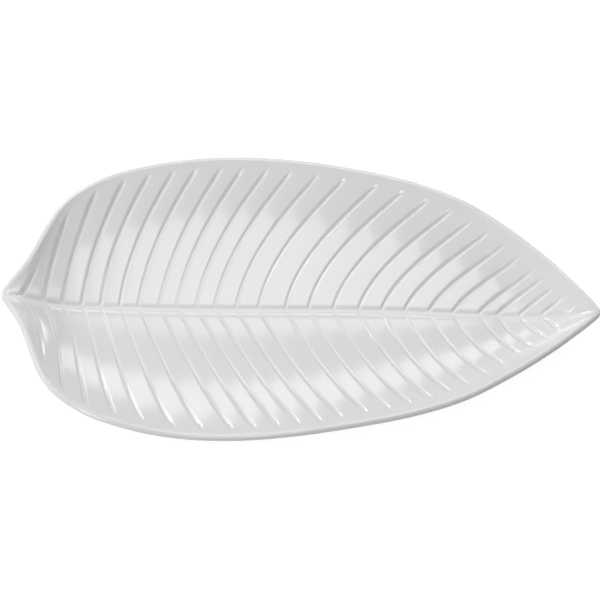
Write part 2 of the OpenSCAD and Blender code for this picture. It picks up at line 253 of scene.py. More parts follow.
class LeafSizes(bpy.types.PropertyGroup):
    """Sizes of the leaf's outline and dish."""
    length: bpy.props.FloatProperty(
        name="Length", description="Overall length, stem to tip",
        default=SHELL_HIGH.x - SHELL_LOW.x, unit="LENGTH")
    width: bpy.props.FloatProperty(
        name="Width", description="Overall width",
        default=SHELL_HIGH.y - SHELL_LOW.y, unit="LENGTH")
    lip_thickness: bpy.props.FloatProperty(
        name="Lip thickness", description="Thickness of the rounded lip",
        default=5.8 * MM, unit="LENGTH")
    lip_blend: bpy.props.FloatProperty(
        name="Lip blend", description="Length over which the shell thickens into the lip",
        default=16 * MM, unit="LENGTH")
    bow: bpy.props.FloatProperty(
        name="Midrib bow", description="Sideways bow of the midrib",
        default=3.6 * MM, unit="LENGTH")
    sway: bpy.props.FloatProperty(
        name="Midrib sway", description="Its sway to one side and back",
        default=2.9 * MM, unit="LENGTH")
    dish_depth: bpy.props.FloatProperty(
        name="Dish depth", description="Height of the lip's top over the floor of the dish",
        default=21.6 * MM, unit="LENGTH")
    wall_power: bpy.props.FloatProperty(
        name="Wall power", description="How late the wall turns up", default=2.2)
    shell: bpy.props.FloatProperty(
        name="Shell thickness", description="Thickness of the moulded shell",
        default=4.2 * MM, unit="LENGTH")
    clearance: bpy.props.FloatProperty(
        name="Underside clearance", description="Height of the underside over the table",
        default=4 * MM, unit="LENGTH")
    stem_drop: bpy.props.FloatProperty(
        name="Stem drop", description="How much lower the lip is at the stem",
        default=8.8 * MM, unit="LENGTH")
    tip_drop: bpy.props.FloatProperty(
        name="Tip drop", description="How much lower the lip is at the tip",
        default=3 * MM, unit="LENGTH")
    stem_rise: bpy.props.FloatProperty(
        name="Stem rise", description="Length over which the floor rises to the stem",
        default=50 * MM, unit="LENGTH")
    tip_rise: bpy.props.FloatProperty(
        name="Tip rise", description="Length over which the floor rises to the tip",
        default=75 * MM, unit="LENGTH")


class VeinSizes(bpy.types.PropertyGroup):
    """Sizes of the pressed-in midrib and veins."""
    depth: bpy.props.FloatProperty(
        name="Vein depth", description="Depth of a vein groove where its share is 1",
        default=2.0 * MM, unit="LENGTH")
    width: bpy.props.FloatProperty(
        name="Vein width", description="Width of a groove over both its shoulders",
        default=5.0 * MM, unit="LENGTH")
    rib_depth: bpy.props.FloatProperty(
        name="Midrib depth", description="Depth of the midrib groove",
        default=1.3 * MM, unit="LENGTH")
    rib_width: bpy.props.FloatProperty(
        name="Midrib width", description="Distance from its middle to its shoulder's end",
        default=5.8 * MM, unit="LENGTH")
    crown: bpy.props.FloatProperty(
        name="Panel crown", description="Crown of a panel where its share is 1",
        default=0.2 * MM, unit="LENGTH")
    border: bpy.props.FloatProperty(
        name="Plain border", description="Plain border between the veins and the lip at the tip",
        default=10 * MM, unit="LENGTH")
    run_out: bpy.props.FloatProperty(
        name="Run-out", description="Length over which the grooves run out at the tip",
        default=15 * MM, unit="LENGTH")
    rib_run_out: bpy.props.FloatProperty(
        name="Midrib run-out", description="Length over which its ends run out",
        default=9 * MM, unit="LENGTH")


class FootSizes(bpy.types.PropertyGroup):
    """Sizes of the moulded bosses that carry the pads."""
    boss: bpy.props.FloatProperty(
        name="Boss diameter", description="Diameter of a moulded boss",
        default=26 * MM, unit="LENGTH")
    fillet: bpy.props.FloatProperty(
        name="Boss fillet", description="Radius where a boss grows out of the shell",
        default=3 * MM, unit="LENGTH")
    edge: bpy.props.FloatProperty(
        name="Boss edge", description="Radius on a boss's outer edge",
        default=0.7 * MM, unit="LENGTH")
    socket_depth: bpy.props.FloatProperty(
        name="Socket depth", description="Depth of the socket that holds a pad",
        default=1.2 * MM, unit="LENGTH")
    gap: bpy.props.FloatProperty(
        name="Socket gap", description="Gap all round a pad in its socket",
        default=0.15 * MM, unit="LENGTH")


class FinishSettings(bpy.types.PropertyGroup):
    """Colours and gloss."""
    melamine: bpy.props.StringProperty(
        name="Melamine colour", description="sRGB hex colour of the moulded leaf",
        default="#e4e4e4")
    melamine_cool: bpy.props.StringProperty(
        name="Melamine cloud colour", description="sRGB hex colour of its faint clouds",
        default="#e1e1e1")
    gloss: bpy.props.FloatProperty(
        name="Melamine roughness", description="Roughness of the moulded gloss",
        default=0.09, subtype="FACTOR")
    pad: bpy.props.StringProperty(
        name="Pad colour", description="sRGB hex colour of the soft pads", default="#d8d8d4")
    pad_dusty: bpy.props.StringProperty(
        name="Pad bloom colour", description="sRGB hex colour of their bloom",
        default="#cfcfcb")


class StudioSettings(bpy.types.PropertyGroup):
    """The camera's place and the lamps' brightness."""
    elevation: bpy.props.FloatProperty(
        name="Camera elevation", description="Angle of the camera over the table",
        default=math.radians(58), subtype="ANGLE")
    turn: bpy.props.FloatProperty(
        name="Camera turn", description="Turn of the camera about the leaf's upright axis",
        default=math.radians(2.509), subtype="ANGLE")
    distance: bpy.props.FloatProperty(
        name="Camera distance", description="Distance of the camera from the leaf's middle",
        default=2568.6 * MM, unit="LENGTH")
    lens: bpy.props.FloatProperty(
        name="Lens", description="Focal length in millimetres", default=191.71)
    tilt: bpy.props.FloatProperty(
        name="Camera tilt", description="How far above the leaf's middle the camera aims",
        default=math.radians(0.229), subtype="ANGLE")
    lamps: bpy.props.FloatProperty(
        name="Lamps", description="Strength of the softboxes", default=1.0)
    ambient: bpy.props.FloatProperty(
        name="Ambient", description="Strength of the plain light from all round", default=0.2)


def even_curve(values, u):
    """The even-step Catmull-Rom curve through the values, for u from 0 to 1."""
    values = np.asarray(values, float)
    last = len(values) - 1
    place = np.clip(u, 0, 1) * last
    i = np.minimum(np.floor(place), last - 1).astype(int)
    t = place - i
    run = np.concatenate(([2 * values[0] - values[1]], values, [2 * values[-1] - values[-2]]))
    a, b, c, d = run[i], run[i + 1], run[i + 2], run[i + 3]
    return (b + t * (c - a) / 2 + t * t * (2 * a - 5 * b + 4 * c - d) / 2
            + t ** 3 * (3 * b - a - 3 * c + d) / 2)


class Leaf:
    """The rules of the leaf's form. Lengths are in metres, x runs from the stem."""

    def __init__(self, leaf, veins):
        self.leaf, self.veins = leaf, veins
        self.r = leaf.lip_thickness / 2
        self.length = leaf.length - leaf.lip_thickness
        u = np.linspace(0, 1, WIDTH_POINTS)
        share, bow = even_curve(HALF_WIDTH_SHARES, u), self.bow(self.outline_x(u))
        straight = (leaf.width - leaf.lip_thickness) / 2
        over = (np.max(straight * share + bow) + np.max(straight * share - bow)) / 2
        self.half = 2 * straight - over
        self.centring = (np.max(self.half * share + bow) - np.max(self.half * share - bow)) / 2
        self.floor = leaf.clearance + leaf.shell
        self.places = np.array(VEIN_PLACE_SHARES) * self.length

    def outline_x(self, u):
        return self.length * (1 - np.cos(np.pi * u)) / 2

    def outline_h(self, u):
        return self.half * np.maximum(0, even_curve(HALF_WIDTH_SHARES, u))

    def angle_share(self, x):
        return np.arccos(1 - 2 * np.clip(x / self.length, 0, 1)) / np.pi

    def half_width(self, x):
        return self.outline_h(self.angle_share(x))

    def bow(self, x):
        t = np.pi * x / self.length
        return self.leaf.bow * np.sin(t) - self.leaf.sway * np.sin(2 * t)

    def vein_x(self, side, s, h):
        u, k = self.angle_share(s), h / self.half
        reach = HOOK_REACH_SHARE * self.half
        return s + self.half * (even_curve(HOOK_SHARES[side], u) * (1 - np.exp(-h / reach))
                                + even_curve(LEAN_SHARES[side], u) * k
                                + even_curve(SWEEP_SHARES[side], u) * k * k)

    def vein_slope(self, side, s, h):
        u = self.angle_share(s)
        reach = HOOK_REACH_SHARE * self.half
        return (even_curve(HOOK_SHARES[side], u) * np.exp(-h / reach) * self.half / reach
                + even_curve(LEAN_SHARES[side], u)
                + 2 * even_curve(SWEEP_SHARES[side], u) * h / self.half)

    def beside(self, side, s, d, h):
        """x of the line that runs beside the vein at s, d away measured square to it."""
        slope = self.vein_slope(side, s, h)
        near_rib = np.minimum(1, h / (self.veins.rib_width / 2))
        return self.vein_x(side, s, h) + d * (1 + near_rib * (np.sqrt(1 + slope * slope) - 1))

    def strength(self, side, x, run):
        """Depth of the relief, as a share, at a share of the way from the midrib to the lip."""
        by_rib, by_lip = (even_curve(shares[side], x / self.length)
                          for shares in (RIB_DEPTH_SHARES, LIP_DEPTH_SHARES))
        return by_rib + (by_lip - by_rib) * even_curve(OUTWARD_SHARES, run)

    def end_rise(self, x):
        stem = np.clip(1 - x / self.leaf.stem_rise, 0, 1) ** RISE_POWER
        tip = np.clip(1 - (self.length - x) / self.leaf.tip_rise, 0, 1) ** RISE_POWER
        return np.minimum(1, stem + tip)

    def lip_top(self, x):
        reach = DROP_REACH_SHARE * self.length
        return (self.floor + self.leaf.dish_depth - self.leaf.stem_drop * np.exp(-x / reach)
                - self.leaf.tip_drop * np.exp(-(self.length - x) / reach))

    def dish(self, x, h):
        """Height of the dish before the veins are pressed in."""
        share = np.minimum(1, h / np.maximum(self.half_width(x), self.r / THIN_END))
        wall = 1 - (1 - share ** self.leaf.wall_power) * (1 - self.end_rise(x))
        return self.floor + (self.lip_top(x) - self.floor) * wall

    def lip_round(self, lean):
        """The point of the lip's section, nearly a circle, that faces so far out from upright."""
        out, up = np.sin(lean), np.cos(lean)
        power = 1 / (LIP_SQUARE - 1)
        spread = abs(out) ** (power * LIP_SQUARE) + abs(up) ** (power * LIP_SQUARE)
        size = self.r / spread ** (1 / LIP_SQUARE)
        return size * np.sign(out) * abs(out) ** power, size * np.sign(up) * abs(up) ** power

    def lip_seat(self, tilt):
        """Where a wall of this slope meets the lip: how far inside the outline, how high over
        the lip's middle, and how far over the wall's own run."""
        out, up = self.lip_round(-tilt)
        return -out, up, up - self.r - out * np.tan(tilt)

    def end_inset(self):
        """How far inside each end of the outline the lip's round begins."""
        return self.lip_seat(edge_frame(self, np.array([0.0, 1.0]))[4])[0]

    def edge_lift(self, edge, tilt):
        """How much the wall is raised by the lip, to run into its round without a crease."""
        inset, _, gap = self.lip_seat(tilt)
        return gap * np.clip(1 - (edge - inset) / self.leaf.lip_blend, 0, 1) ** 2

    def world(self, side, x, h, z):
        y = (h if side == 0 else -h) + self.bow(x) - self.centring
        return np.stack(np.broadcast_arrays(x - self.length / 2, y, z), axis=-1)


def column_x(leaf, side, table, h):
    """x of each column, a blend of lines beside two veins, at the distances h from the midrib."""
    s0, d0, s1, d1, blend = (table[:, i:i + 1] for i in range(5))
    return (1 - blend) * leaf.beside(side, s0, d0, h) + blend * leaf.beside(side, s1, d1, h)


def vein_columns(leaf):
    """The columns beside the veins and over the panels between them: the place of a vein and
    a distance from it, the same of a second vein, the blend, and the vein on the stem side."""
    beside = np.array(BESIDE_VEIN_SHARES) * leaf.veins.width
    columns = []
    for i, s in enumerate(leaf.places):
        columns += [(s, d, s, d, 0, i if d >= 0 else i - 1) for d in beside]
        if i + 1 < len(leaf.places):
            columns += [(s, beside[-1], leaf.places[i + 1], beside[0], k / (PANEL_COLUMNS + 1), i)
                        for k in range(1, PANEL_COLUMNS + 1)]
    return np.array(columns, float)


def column_ends(leaf, side, table):
    """Where on the outline each column ends, as an angle share, found by halving."""
    low, high = np.zeros(len(table)), np.ones(len(table))
    for _ in range(HALVINGS):
        middle = (low + high) / 2
        reach = column_x(leaf, side, table, leaf.outline_h(middle)[:, None])[:, 0]
        before = leaf.outline_x(middle) < reach
        low, high = np.where(before, middle, low), np.where(before, high, middle)
    return (low + high) / 2


def edge_distance(leaf, x, h):
    """Distance of the points from the leaf's outline."""
    u = np.linspace(0, 1, EDGE_POINTS)
    line = np.stack([leaf.outline_x(u), leaf.outline_h(u)], axis=-1)
    flat = np.stack([x.ravel(), h.ravel()], axis=-1)
    parts = [np.sqrt(((part[:, None] - line[None]) ** 2).sum(-1)).min(1)
             for part in np.array_split(flat, max(1, len(flat) // EDGE_CHUNK))]
    return np.concatenate(parts).reshape(x.shape)


def edge_frame(leaf, u):
    """The outline's points, outward directions and the dish's slope there."""
    p, q = np.maximum(0, u - EDGE_STEP), np.minimum(1, u + EDGE_STEP)
    along, across = leaf.outline_x(q) - leaf.outline_x(p), leaf.outline_h(q) - leaf.outline_h(p)
    size = np.hypot(along, across)
    x, h = leaf.outline_x(u), leaf.outline_h(u)
    nx, nh = -across / size, along / size
    nx, nh = np.where(u <= 0, -1, np.where(u >= 1, 1, nx)), np.where((u <= 0) | (u >= 1), 0, nh)
    rise = leaf.dish(x, h) - leaf.dish(x - nx * leaf.r / 2, np.maximum(0, h - nh * leaf.r / 2))
    return x, h, nx, nh, np.arctan2(rise, leaf.r / 2)


def vein_distances(leaf, side, column_vein, x, h):
    """Distances of the points from the veins next to them on their stem and tip sides."""
    no_vein = NO_VEIN * leaf.veins.width
    found = []
    for step, way in ((0, 1), (1, -1)):
        vein = column_vein.astype(int) + step
        real = (vein >= 0) & (vein < len(leaf.places))
        s = leaf.places[np.clip(vein, 0, len(leaf.places) - 1)][:, None]
        slope = leaf.vein_slope(side, s, h)
        square = way * (x - leaf.vein_x(side, s, h)) / np.sqrt(1 + slope ** 2)
        found.append(np.where(real[:, None], np.maximum(0, square), no_vein))
    return found


def lay_side(leaf, side):
    """One half of the skin before its veins are pressed in: rows of points on every column,
    from the midrib to the lip, round the lip and back underneath, and the top's marks."""
    # Before the first column and beyond the last one, copies of it are drawn out to the ends.
    table = vein_columns(leaf)
    ends = column_ends(leaf, side, table[:, :5])
    stem = np.arange(1, STEM_FILL + 1) / (STEM_FILL + 1)
    tip = np.arange(TIP_FILL, 0, -1) / (TIP_FILL + 1)
    own = np.concatenate([np.zeros(STEM_FILL, int), np.arange(len(table)),
                          np.full(TIP_FILL, len(table) - 1)])
    share = np.concatenate([stem, np.ones(len(table)), tip])[:, None]
    end_u = np.concatenate([stem * ends[0], ends, 1 - tip * (1 - ends[-1])])
    column_vein = table[own, 5]
    column_vein[:STEM_FILL] = -1
    ex, eh, nx, nh, tilt = (v[:, None] for v in edge_frame(leaf, end_u))
    own_x, own_h = leaf.outline_x(ends[own])[:, None], leaf.outline_h(ends[own])[:, None]
    own_base = column_x(leaf, side, table[own, :5], np.zeros((len(own), 1)))
    inset = leaf.end_inset()
    last = leaf.length - inset[1]
    base = np.where(own[:, None] == 0, inset[0] + share * (own_base - inset[0]),
                    last - share * (last - own_base))

    def place(q):
        bend = (column_x(leaf, side, table[own, :5], q * own_h) - own_base) / (own_x - own_base)
        return base + (ex - base) * bend

    rib = np.array(BESIDE_RIB_SHARES) * leaf.veins.rib_width * np.minimum(
        1, eh / (RIB_ROWS_ROOM * leaf.veins.rib_width))
    even, turn = (np.linspace(0, end, TOP_ROWS + 1)[1:] for end in (1, np.pi / 2))
    rows = ROW_EVENNESS * even + (1 - ROW_EVENNESS) * np.sin(turn)
    h = np.concatenate([rib, rib[:, -1:] + (eh - rib[:, -1:]) * rows], axis=1)
    run = h / eh
    x = place(run)
    inset, seat, gap = leaf.lip_seat(tilt)
    back = inset * run ** LIP_PULL_POWER
    x, h = x - nx * back, np.maximum(0, h - nh * back)
    edge = edge_distance(leaf, x, h)
    z = leaf.dish(x, h) + leaf.edge_lift(edge, tilt)
    z[:, -1:] = leaf.lip_top(ex) - leaf.r + seat
    top = leaf.world(side, x, h, z)
    from_vein, to_vein = vein_distances(leaf, side, column_vein, x, h)
    marks = dict(from_vein=from_vein, to_vein=to_vein, from_edge=edge,
                 from_midrib=abs(h + (RIB_SHIFT, -RIB_SHIFT)[side]),
                 along=x / leaf.length, strength=leaf.strength(side, x, run))

    out, up = leaf.lip_round(np.pi * np.arange(1, LIP_STEPS + 1) / LIP_STEPS - tilt)
    lip = leaf.world(side, ex + nx * out, eh + nh * out, leaf.lip_top(ex) - leaf.r + up)

    q = np.array(UNDER_SHARES) + 0 * eh
    x, h = place(q), q * eh
    near = np.clip(1 - (eh - h) / leaf.leaf.lip_blend, 0, 1) ** 2
    z = leaf.dish(x, h) - leaf.leaf.shell - (2 * leaf.r + gap - leaf.leaf.shell) * near
    under = leaf.world(side, x, h, z)
    return dict(base=base[:, 0], top=top, lip=lip, under=under, marks=marks)


def skin_faces(columns, top_rows, rows):
    """Faces of the skin. Its points are the columns' middles above and below, then the rows of
    the columns of each half, and last the lip's round at both ends, where all rows meet."""
    halves = 2 * columns
    ends = halves + 2 * (columns - 2) * rows

    def number(side, k, j):
        at_end = k in (0, columns - 1)
        if j == 0 or (at_end and j <= top_rows):
            return k
        if j > rows or (at_end and j >= top_rows + LIP_STEPS):
            return columns + k
        if at_end:
            return ends + (0 if k == 0 else LIP_STEPS - 1) + j - top_rows - 1
        return halves + (side * (columns - 2) + k - 1) * rows + j - 1

    faces = []
    for side in (0, 1):
        for k in range(columns - 1):
            for j in range(rows + 1):
                face = [number(side, k, j), number(side, k, j + 1),
                        number(side, k + 1, j + 1), number(side, k + 1, j)]
                face = face if side == 1 else face[::-1]
                face = [n for i, n in enumerate(face) if n != face[i - 1]]
                if len(face) > 2:
                    faces.append(face)
    return faces


def skin_marks(leaf, far, near, x, edge):
    """The marks of the skin's points, in the same order as the points."""
    zero = np.zeros_like(x)
    no_vein = zero + NO_VEIN * leaf.veins.width
    middle = {"from_vein": no_vein, "to_vein": no_vein, "from_midrib": zero + RIB_SHIFT,
              "from_edge": edge, "along": x / leaf.length,
              "strength": leaf.strength(0, x, zero)}
    inner, end_points = len(x) - 2, 2 * (LIP_STEPS - 1)
    outside = np.zeros((inner, LIP_STEPS + len(UNDER_SHARES)))
    marks = {}
    for name, own in middle.items():
        halves = [np.concatenate([half["marks"][name], outside], axis=1).ravel()
                  for half in (far, near)]
        marks[name] = np.concatenate([own, zero] + halves + [np.zeros(end_points)])
    row_counts = (far["top"].shape[1], LIP_STEPS, len(UNDER_SHARES))
    for name, (top, lip, under) in {"pressed": (1, 0, 0), "under": (0, 0, 1)}.items():
        row = np.repeat((top, lip, under), row_counts)
        marks[name] = np.concatenate([zero + top, zero + under, np.tile(row, 2 * inner),
                                      np.full(end_points, lip)])
    return marks


def leaf_skin(leaf):
    """The closed skin of the leaf before its veins are pressed in: points, faces and marks."""
    far, near = lay_side(leaf, 0), lay_side(leaf, 1)
    inset = leaf.end_inset()
    x = np.concatenate([[inset[0]], far["base"], [leaf.length - inset[1]]])
    zero = np.zeros_like(x)
    edge = edge_distance(leaf, x, zero)
    tilt = edge_frame(leaf, np.array([0.0, 1.0]))[4]
    tilts = np.where(x < leaf.length / 2, tilt[0], tilt[1])
    middle = leaf.world(0, x, zero, leaf.dish(x, zero) + leaf.edge_lift(edge, tilts))
    under_x = np.concatenate([[0], far["base"], [leaf.length]])
    under_z = leaf.dish(under_x, zero) - leaf.leaf.shell

    # At both ends the middle's points are the first and the last one of the lip's round.
    at_ends, outwards = [0, -1], np.array([-1, 1])
    tips = under_x[at_ends]
    lip_middle = leaf.lip_top(tips) - leaf.r
    low_out, low = leaf.lip_round(np.pi - tilt)
    middle[at_ends, 2] = lip_middle + leaf.lip_seat(tilt)[1]
    under_x[at_ends] += outwards * low_out
    under_z[at_ends] = lip_middle + low
    out, up = leaf.lip_round(np.pi * np.arange(1, LIP_STEPS) / LIP_STEPS - tilt[:, None])
    ends = leaf.world(0, tips[:, None] + outwards[:, None] * out, 0 * out,
                      lip_middle[:, None] + up)

    halves = [np.concatenate([half["top"], half["lip"], half["under"]], axis=1)
              for half in (far, near)]
    points = np.concatenate([middle, leaf.world(0, under_x, zero, under_z)]
                            + [part.reshape(-1, 3) for part in (*halves, ends)])
    faces = skin_faces(len(x), far["top"].shape[1], halves[0].shape[1])
    return points, faces, skin_marks(leaf, far, near, x, edge)


def mesh_object(name, points, faces, marks=None):
    """A mesh object at the origin, with its marks as point attributes."""
    mesh = bpy.data.meshes.new(name)
    mesh.from_pydata([tuple(p) for p in points], [], faces)
    for key, values in (marks or {}).items():
        attribute = mesh.attributes.new(key, "FLOAT", "POINT")
        attribute.data.foreach_set("value", np.asarray(values, np.float32))
    mesh.validate()
    mesh.update()
    obj = bpy.data.objects.new(name, mesh)
    bpy.context.scene.collection.objects.link(obj)
    return obj


def vein_press_tree(inputs):
    """Geometry nodes that press the midrib and the veins into the dish."""
    tree, given = start_tree("press_the_veins", [(name, "Float") for name in inputs])
    mark = {name: add_node(tree, "GeometryNodeInputNamedAttribute", {"Name": name},
                           data_type="FLOAT")
            for name in ("from_vein", "to_vein", "from_midrib", "from_edge", "along",
                         "strength", "pressed")}
    widening = add_node(tree, MATH, {0: mark["strength"], 1: given["Widening power"]},
                        operation="POWER")
    width = add_node(tree, MATH, {0: given["Vein width"], 1: widening}, operation="MULTIPLY")
    share = {}
    for name, distance, reach, points in (
            ("tip side", mark["from_vein"], width, TIP_SIDE_SHARES),
            ("stem side", mark["to_vein"], width, STEM_SIDE_SHARES),
            ("midrib", mark["from_midrib"], given["Midrib width"], RIB_SIDE_SHARES),
            ("border", mark["along"], 1.0, BORDER_SHARES),
            ("run-out", mark["along"], 1.0, RUN_OUT_SHARES)):
        at = add_node(tree, MATH, {0: distance, 1: reach}, operation="DIVIDE")
        share[name] = add_node(tree, "ShaderNodeFloatCurve", {"Value": at})
        set_curve(share[name], points)

    # Where the grooves are open: they end before the lip, and the midrib at both points.
    border, run_out = (
        add_node(tree, MATH, {0: given[size], 1: share[curve]}, operation="MULTIPLY")
        for size, curve in (("Plain border", "border"), ("Run-out", "run-out")))
    open_from, rib_from = (
        add_node(tree, MATH, {0: start, 1: length}, operation="ADD")
        for start, length in ((border, run_out), (given["Lip round"], given["Midrib run-out"])))
    is_open, rib_open, off_rib = (
        add_node(tree, "ShaderNodeMapRange", {"Value": value, "From Min": low, "From Max": high},
                 interpolation_type="SMOOTHSTEP")
        for value, low, high in ((mark["from_edge"], border, open_from),
                                 (mark["from_edge"], given["Lip round"], rib_from),
                                 (mark["from_midrib"], 0.0, given["Midrib width"])))

    # The grooves, of which the midrib's takes over where a vein meets it.
    rib = add_node(tree, MATH, {0: share["midrib"], 1: rib_open}, operation="MULTIPLY")
    not_rib = add_node(tree, MATH, {0: 1.0, 1: rib}, operation="SUBTRACT")
    vein = add_node(tree, MATH, {0: share["tip side"], 1: share["stem side"]},
                    operation="MAXIMUM")
    for factor in (is_open, mark["strength"], given["Vein depth"], not_rib):
        vein = add_node(tree, MATH, {0: vein, 1: factor}, operation="MULTIPLY")
    groove = add_node(tree, MATH, {0: rib, 1: given["Midrib depth"], 2: vein},
                      operation="MULTIPLY_ADD")

    # The panels are a little fuller in their middle.
    gap = add_node(tree, MATH, {0: mark["from_vein"], 1: mark["to_vein"]}, operation="ADD")
    across = add_node(tree, MATH, {0: mark["from_vein"], 1: gap}, operation="DIVIDE")
    crown = add_node(tree, MATH, {0: across, 1: math.pi}, operation="MULTIPLY")
    crown = add_node(tree, MATH, {0: crown}, operation="SINE")
    for factor in (is_open, off_rib, mark["strength"], given["Panel crown"]):
        crown = add_node(tree, MATH, {0: crown, 1: factor}, operation="MULTIPLY")

    lift = add_node(tree, MATH, {0: crown, 1: groove}, operation="SUBTRACT")
    lift = add_node(tree, MATH, {0: lift, 1: mark["pressed"]}, operation="MULTIPLY")
    offset = add_node(tree, "ShaderNodeCombineXYZ", {"Z": lift})
    return end_tree(tree, given, given["Geometry"], offset)


def run_tree(obj, tree, values):
    """Puts the tree on the object with its inputs, and turns the result into a plain mesh."""
    modifier = obj.modifiers.new(tree.name, "NODES")
    modifier.node_group = tree
    sockets = {item.name: item.identifier for item in tree.interface.items_tree
               if item.item_type == "SOCKET" and item.in_out == "INPUT"}
    for name, value in values.items():
        modifier[sockets[name]] = value
    bpy.context.view_layer.update()
    depsgraph = bpy.context.evaluated_depsgraph_get()
    mesh = bpy.data.meshes.new_from_object(obj.evaluated_get(depsgraph))
    obj.modifiers.clear()
    obj.data = mesh


def boss_template(feet):
    """One moulded boss, turned about the upright axis. Seated points follow the shell."""
    r, socket = feet.boss / 2, (PAD_HIGH.x - PAD_LOW.x) / 2 + feet.gap
    top, face = PAD_HIGH.z, PAD_HIGH.z - feet.socket_depth
    soft = feet.edge / SOCKET_SHARPNESS
    turn = np.linspace(0, np.pi / 2, ARC_STEPS + 1)
    profile = [(0, top, 0), (socket, top, 0)]
    profile += [(socket + soft - soft * math.cos(t), face + soft - soft * math.sin(t), 0)
                for t in turn]
    profile += [(r - feet.edge + feet.edge * math.sin(t),
                 face + feet.edge - feet.edge * math.cos(t), 0) for t in turn]
    profile += [(r + feet.fillet - feet.fillet * math.cos(t),
                 -feet.fillet + feet.fillet * math.sin(t), 1) for t in turn]
    profile += [(r + feet.fillet, feet.edge, 1), (0, feet.edge, 1)]
    angles = [2 * math.pi * k / BOSS_SIDES for k in range(BOSS_SIDES)]
    points = [(x * math.cos(a), x * math.sin(a), z) for x, z, _ in profile for a in angles]
    seat = np.repeat([follow for *_, follow in profile], BOSS_SIDES)
    faces = []
    for ring in range(0, len(points) - BOSS_SIDES, BOSS_SIDES):
        for k in range(BOSS_SIDES):
            n = (k + 1) % BOSS_SIDES
            faces.append([ring + i for i in (k, BOSS_SIDES + k, BOSS_SIDES + n, n)])
    obj = mesh_object("boss_template", points, faces, {"seat": seat, "under": np.ones(len(seat))})
    form = bmesh.new()
    form.from_mesh(obj.data)
    bmesh.ops.remove_doubles(form, verts=form.verts, dist=WELD)
    bmesh.ops.recalc_face_normals(form, faces=form.faces)
    form.to_mesh(obj.data)
    form.free()
    return obj


def boss_seat_tree():
    """Geometry nodes that stand a boss on each place and run its top into the shell."""
    tree, given = start_tree("seat_the_bosses", (
        ("Boss", "Object"), ("Shell", "Object"), ("Reach", "Float")))
    boss, shell = (
        add_node(tree, "GeometryNodeObjectInfo", {"Object": given[name]}).outputs["Geometry"]
        for name in ("Boss", "Shell"))
    places = add_node(tree, "GeometryNodeMeshToPoints", {"Mesh": given["Geometry"]})
    shape = add_node(tree, "GeometryNodeInstanceOnPoints", {"Points": places, "Instance": boss})
    shape = add_node(tree, "GeometryNodeRealizeInstances", {"Geometry": shape})
    here = add_node(tree, "ShaderNodeSeparateXYZ",
                    {"Vector": add_node(tree, "GeometryNodeInputPosition")}).outputs
    foot = add_node(tree, "ShaderNodeCombineXYZ", {"X": here["X"], "Y": here["Y"]})
    ray = add_node(tree, "GeometryNodeRaycast", {
        "Target Geometry": shell, "Source Position": foot, "Ray Direction": (0, 0, 1),
        "Ray Length": given["Reach"]})
    hit = add_node(tree, "ShaderNodeSeparateXYZ", {"Vector": ray.outputs["Hit Position"]})
    seat = add_node(tree, "GeometryNodeInputNamedAttribute", {"Name": "seat"}, data_type="FLOAT")
    lift = add_node(tree, MATH, {0: hit.outputs["Z"], 1: seat}, operation="MULTIPLY")
    offset = add_node(tree, "ShaderNodeCombineXYZ", {"Z": lift})
    return end_tree(tree, given, shape, offset)


def surface_material(name, colours, cloud_size, roughness, under_roughness, ior, wave, grain):
    """The frame of both finishes: faint clouds of colour, a gloss that wavers with them and
    differs underneath, and a skin with waves and grain, each given as its size and height."""
    material = bpy.data.materials.get(name)
    if material:
        return material
    material = bpy.data.materials.new(name)
    tree = clear_tree(material)
    where = add_node(tree, "ShaderNodeTexCoord").outputs["Object"]
    clouds, fine, broad = (
        add_node(tree, "ShaderNodeTexNoise",
                 {"Vector": where, "Scale": 1 / size, "Detail": detail})
        for size, detail in ((cloud_size, 3.0), (grain[0], 2.0), (wave[0], 1.0)))
    colour = add_node(tree, "ShaderNodeMix", {
        0: clouds, 6: linear(colours[0]), 7: linear(colours[1])}, data_type="RGBA")
    under = add_node(tree, "ShaderNodeAttribute", attribute_name="under")
    gloss = add_node(tree, "ShaderNodeMapRange", {
        "Value": under.outputs["Fac"], "To Min": roughness, "To Max": under_roughness})
    waver = add_node(tree, "ShaderNodeMapRange", {
        "Value": clouds, "From Min": NOISE_LOW, "From Max": NOISE_HIGH,
        "To Min": 1 - GLOSS_WAVER, "To Max": 1 + GLOSS_WAVER})
    gloss = add_node(tree, MATH, {0: gloss, 1: waver}, operation="MULTIPLY")
    skin = add_node(tree, "ShaderNodeBump",
                    {"Height": fine, "Distance": grain[1], "Strength": 1.0})
    skin = add_node(tree, "ShaderNodeBump",
                    {"Height": broad, "Distance": wave[1], "Strength": 1.0, "Normal": skin})
    shader = add_node(tree, "ShaderNodeBsdfPrincipled", {
        "Base Color": colour.outputs[2], "Roughness": gloss, "IOR": ior, "Metallic": 0.0,
        "Normal": skin})
    add_node(tree, "ShaderNodeOutputMaterial", {"Surface": shader})
    return material


def melamine(finish):
    """Compression-moulded melamine: a hard dense white. The polished mould gives its upper
    side a wet gloss that shows each lamp's shape and softly wavers, and its underside is
    satin. The grain is drawn coarser than it is, to show at all."""
    return surface_material(
        "moulded_melamine", (finish.melamine, finish.melamine_cool), cloud_size=45 * MM,
        roughness=finish.gloss, under_roughness=0.35, ior=1.6,
        wave=(14 * MM, 0.006 * MM), grain=(0.8 * MM, 0.002 * MM))


def soft_pad(finish):
    """Cast soft rubber: matt, with a pale bloom in clouds and a fine grain that kills any
    gloss. The grain is drawn about twice as coarse as it is, to show at all."""
    return surface_material(
        "cast_rubber", (finish.pad, finish.pad_dusty), cloud_size=5 * MM,
        roughness=0.65, under_roughness=0.65, ior=1.5,
        wave=(3 * MM, 0.03 * MM), grain=(0.8 * MM, 0.02 * MM))


